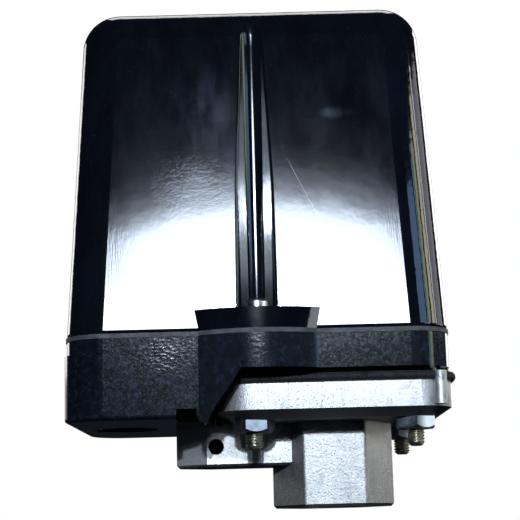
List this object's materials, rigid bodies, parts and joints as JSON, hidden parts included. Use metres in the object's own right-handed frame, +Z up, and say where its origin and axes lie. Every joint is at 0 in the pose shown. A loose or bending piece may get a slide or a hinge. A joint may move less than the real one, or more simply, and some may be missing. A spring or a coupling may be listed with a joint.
{
  "type": "pressure switch",
  "caption": "Air-compressor pressure switch: tall cover on a base housing, clamped to a cast flange with a hexagon pressure port and an unloading-valve arm.",
  "frame": {"origin": "centre of the pressure port's mouth, in the bottom face of the hexagon boss", "axes": "+Z up along the port, through the switch; +X towards the right of the pictured front, away from the cable entry; +Y to the rear"},
  "size_m": [0.1062, 0.0828, 0.1452],
  "materials": {
    "cast_aluminium": "rough sand-cast, lightly tumbled",
    "rubber": "matt black rubber sheet",
    "seal_rubber": "grey soft rubber cord",
    "zinc_steel": "blue-white zinc plating",
    "zinc_nut": "blue-white zinc plating",
    "zinc_thread": "yellowish zinc plating on a rolled thread",
    "screw_steel": "bright turned steel",
    "spring_steel": "drawn spring wire",
    "frame_steel": "zinc-plated sheet, folded",
    "brass": "stamped and turned",
    "silver": "silver alloy contact rivets",
    "base_plastic": "coarse moulded grain, black",
    "cover_plastic": "semi-gloss black with a fine grain",
    "knob_plastic": "satin black",
    "inner_plastic": "natural glass-filled nylon",
    "contact_plastic": "dark brown thermoset"
  },
  "bodies": {
    "body": {"pressure_flange": "cast_aluminium", "diaphragm": "rubber", "flange_bolts": "zinc_thread", "flange_washers": "zinc_steel", "flange_nuts": "zinc_nut", "valve_bush": "brass", "valve_spring": "spring_steel", "base_housing": "base_plastic", "cover_seal": "seal_rubber", "side_plates": "frame_steel", "frame_yoke": "frame_steel", "rod_guide": "frame_steel", "lever_pin": "screw_steel", "lever_clips": "spring_steel", "range_spring": "spring_steel", "differential_spring": "spring_steel", "rod_spring": "spring_steel", "contact_block": "contact_plastic", "block_screws": "screw_steel", "fixed_contacts": "brass", "fixed_tips": "silver", "terminal_clamps": "zinc_steel", "terminal_screws": "zinc_steel", "carrier_spring": "spring_steel", "earth_clamp": "zinc_steel", "earth_screw": "brass"},
    "cover": {"cover": "cover_plastic", "cover_screws": "screw_steel"},
    "knob": {"knob": "knob_plastic", "knob_clip": "spring_steel"},
    "release_shaft": {"release_shaft": "inner_plastic", "release_clip": "spring_steel"},
    "push_rod": {"push_rod": "inner_plastic"},
    "piston": {"piston": "zinc_steel"},
    "lever": {"main_lever": "frame_steel"},
    "spring_cup": {"spring_cup": "zinc_steel"},
    "carrier": {"contact_carrier": "inner_plastic", "contact_springs": "spring_steel"},
    "bridges": {"contact_bridges": "brass", "bridge_tips": "silver"},
    "unloader": {"valve_pin": "zinc_steel", "valve_plunger": "brass"},
    "range_screw": {"range_screw": "zinc_steel"},
    "range_plate": {"range_plate": "zinc_steel"},
    "differential_screw": {"differential_screw": "zinc_steel"},
    "differential_plate": {"differential_plate": "zinc_steel"}
  },
  "joints": [
    {"name": "cover_lift", "type": "slide", "parent": "body", "child": "cover", "axis": [0, 0, 1], "range_m": [0, 0.1]},
    {"name": "knob_turn", "type": "hinge", "parent": "cover", "child": "knob", "pos_m": [-0.028, 0, 0.13], "axis": [0, 0, 1], "range_deg": [0, 90]},
    {"name": "release_turn", "type": "hinge", "parent": "body", "child": "release_shaft", "pos_m": [-0.028, 0, 0.11], "axis": [0, 0, 1], "range_deg": [0, 90]},
    {"name": "rod_push", "type": "slide", "parent": "body", "child": "push_rod", "axis": [0, 0, -1], "range_m": [0, 0.00192], "deforming": ["rod_spring"]},
    {"name": "piston_travel", "type": "slide", "parent": "body", "child": "piston", "axis": [0, 0, 1], "range_m": [0, 0.001], "stiffness_N_per_m": 2000, "springref_m": -0.001, "deforming": ["range_spring", "differential_spring", "carrier_spring", "valve_spring", "contact_springs"]},
    {"name": "lever_rock", "type": "hinge", "parent": "body", "child": "lever", "pos_m": [-0.014, 0, 0.047], "axis": [0, -1, 0], "range_deg": [0, 4.14]},
    {"name": "cup_rise", "type": "slide", "parent": "body", "child": "spring_cup", "axis": [0, 0, 1], "range_m": [0, 0.00101]},
    {"name": "carrier_press", "type": "slide", "parent": "body", "child": "carrier", "axis": [0, 0, -1], "range_m": [0, 0.00209]},
    {"name": "bridge_relief", "type": "slide", "parent": "carrier", "child": "bridges", "axis": [0, 0, 1], "range_m": [0, 0.00061], "deforming": ["contact_springs"]},
    {"name": "unloader_press", "type": "slide", "parent": "body", "child": "unloader", "axis": [0, 0, -1], "range_m": [0, 0.00173]},
    {"name": "range_screw_turn", "type": "hinge", "parent": "body", "child": "range_screw", "pos_m": [0, 0, 0.1], "axis": [0, 0, 1], "range_deg": [-1090, 2170]},
    {"name": "range_plate_shift", "type": "slide", "parent": "body", "child": "range_plate", "axis": [0, 0, 1], "range_m": [-0.0075, 0.00375], "deforming": ["range_spring"]},
    {"name": "differential_screw_turn", "type": "hinge", "parent": "body", "child": "differential_screw", "pos_m": [0.019, 0, 0.1], "axis": [0, 0, 1], "range_deg": [-1090, 1450]},
    {"name": "differential_plate_shift", "type": "slide", "parent": "body", "child": "differential_plate", "axis": [0, 0, 1], "range_m": [-0.0032, 0.0024], "deforming": ["differential_spring"]}
  ],
  "couplings": [
    {"joint": "release_turn", "follows": "knob_turn", "ratio": 1},
    {"joint": "rod_push", "follows": "knob_turn", "m_per_rad": 0.0012096},
    {"joint": "lever_rock", "follows": "piston_travel", "rad_per_m": 71.429},
    {"joint": "cup_rise", "follows": "piston_travel", "ratio": 1},
    {"joint": "carrier_press", "follows": "piston_travel", "ratio": 2.0714},
    {"joint": "bridge_relief", "follows": "piston_travel", "ratio": 0.6},
    {"joint": "unloader_press", "follows": "piston_travel", "ratio": 1.7143},
    {"joint": "range_screw_turn", "follows": "range_plate_shift", "rad_per_m": -5026.5},
    {"joint": "differential_screw_turn", "follows": "differential_plate_shift", "rad_per_m": -7854}
  ]
}
